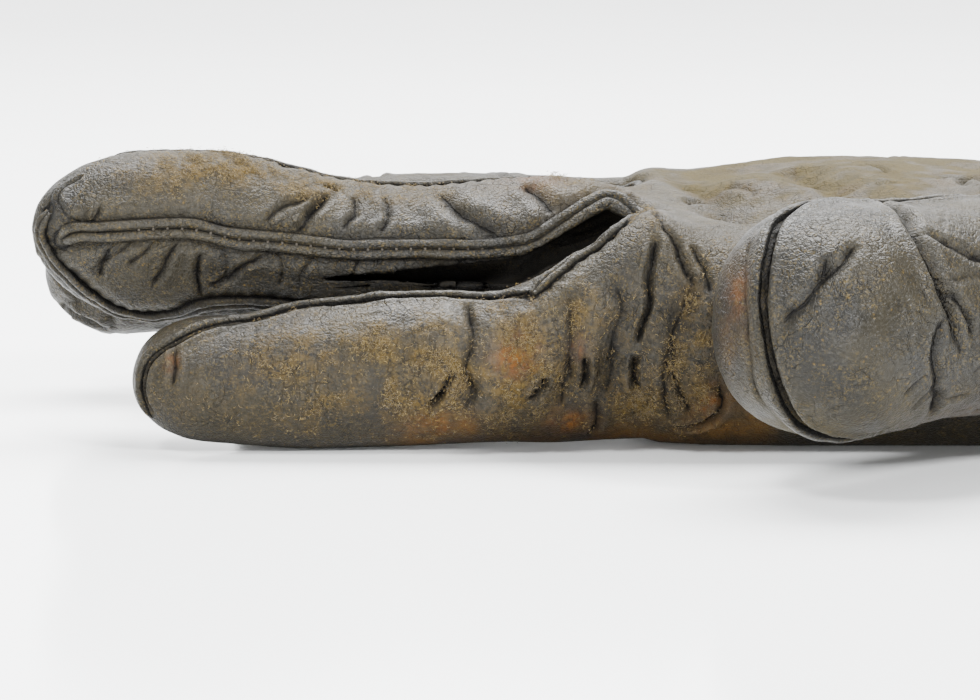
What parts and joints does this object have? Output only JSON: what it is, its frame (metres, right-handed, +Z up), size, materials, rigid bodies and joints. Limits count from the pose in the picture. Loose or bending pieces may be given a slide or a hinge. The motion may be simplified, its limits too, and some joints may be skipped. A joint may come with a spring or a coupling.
{
  "type": "cut resistant glove",
  "caption": "Thick leather work glove for the right hand, lined with cut resistant knit, with hinged fingers and thumb and a short flared cuff.",
  "frame": {"origin": "centre of the base of the glove's box, on the surface that the glove lies on", "axes": "+X from the fingertips towards the cuff, +Y from the index finger's side towards the little finger's, +Z up from the palm"},
  "size_m": [0.2712, 0.1526, 0.0491],
  "materials": {
    "leather_back": "matte",
    "leather_palm": "matte",
    "leather_side": "matte",
    "leather_piping": "satin",
    "knitted_liner": "matte",
    "elastic": "matte"
  },
  "bodies": {
    "hand": {"hand_back": "leather_back", "hand_palm": "leather_palm", "hand_liner": "knitted_liner", "cuff_back": "leather_back", "cuff_palm": "leather_back", "cuff_binding": "leather_piping", "wrist_elastic": "elastic", "index_knuckle_fold": "leather_back", "middle_knuckle_fold": "leather_back", "ring_knuckle_fold": "leather_back", "little_knuckle_fold": "leather_back", "thumb_fold": "leather_back", "index_middle_web_welt": "leather_piping", "middle_ring_web_welt": "leather_piping", "ring_little_web_welt": "leather_piping"},
    "index_finger": {"index_back": "leather_back", "index_palm": "leather_palm", "index_fourchette": "leather_side", "index_liner": "knitted_liner", "index_welt": "leather_piping"},
    "middle_finger": {"middle_back": "leather_back", "middle_palm": "leather_palm", "middle_near_fourchette": "leather_side", "middle_far_fourchette": "leather_side", "middle_liner": "knitted_liner", "middle_near_welt": "leather_piping", "middle_far_welt": "leather_piping"},
    "ring_finger": {"ring_back": "leather_back", "ring_palm": "leather_palm", "ring_near_fourchette": "leather_side", "ring_far_fourchette": "leather_side", "ring_liner": "knitted_liner", "ring_near_welt": "leather_piping", "ring_far_welt": "leather_piping"},
    "little_finger": {"little_back": "leather_back", "little_palm": "leather_palm", "little_fourchette": "leather_side", "little_liner": "knitted_liner", "little_welt": "leather_piping"},
    "thumb": {"thumb_outer": "leather_back", "thumb_inner": "leather_palm", "thumb_liner": "knitted_liner", "thumb_welt": "leather_piping"}
  },
  "joints": [
    {"name": "index_knuckle", "type": "hinge", "parent": "hand", "child": "index_finger", "pos_m": [-0.0485, -0.0173, 0.018], "axis": [0, -0.9063, -0.4226], "range_deg": [-10, 65], "deforming": ["index_knuckle_fold"]},
    {"name": "middle_knuckle", "type": "hinge", "parent": "hand", "child": "middle_finger", "pos_m": [-0.0485, 0.0002, 0.0295], "axis": [0, -0.9063, -0.4226], "range_deg": [-10, 65], "deforming": ["middle_knuckle_fold"]},
    {"name": "ring_knuckle", "type": "hinge", "parent": "hand", "child": "ring_finger", "pos_m": [-0.0485, 0.0302, 0.027], "axis": [0, -0.9063, -0.4226], "range_deg": [-10, 65], "deforming": ["ring_knuckle_fold"]},
    {"name": "little_knuckle", "type": "hinge", "parent": "hand", "child": "little_finger", "pos_m": [-0.0455, 0.0597, 0.019], "axis": [0, -0.9063, -0.4226], "range_deg": [-10, 65], "deforming": ["little_knuckle_fold"]},
    {"name": "thumb_base", "type": "hinge", "parent": "hand", "child": "thumb", "pos_m": [0.0155, -0.0368, 0.0244], "axis": [0, 0, 1], "range_deg": [-12, 35], "deforming": ["thumb_fold"]}
  ]
}
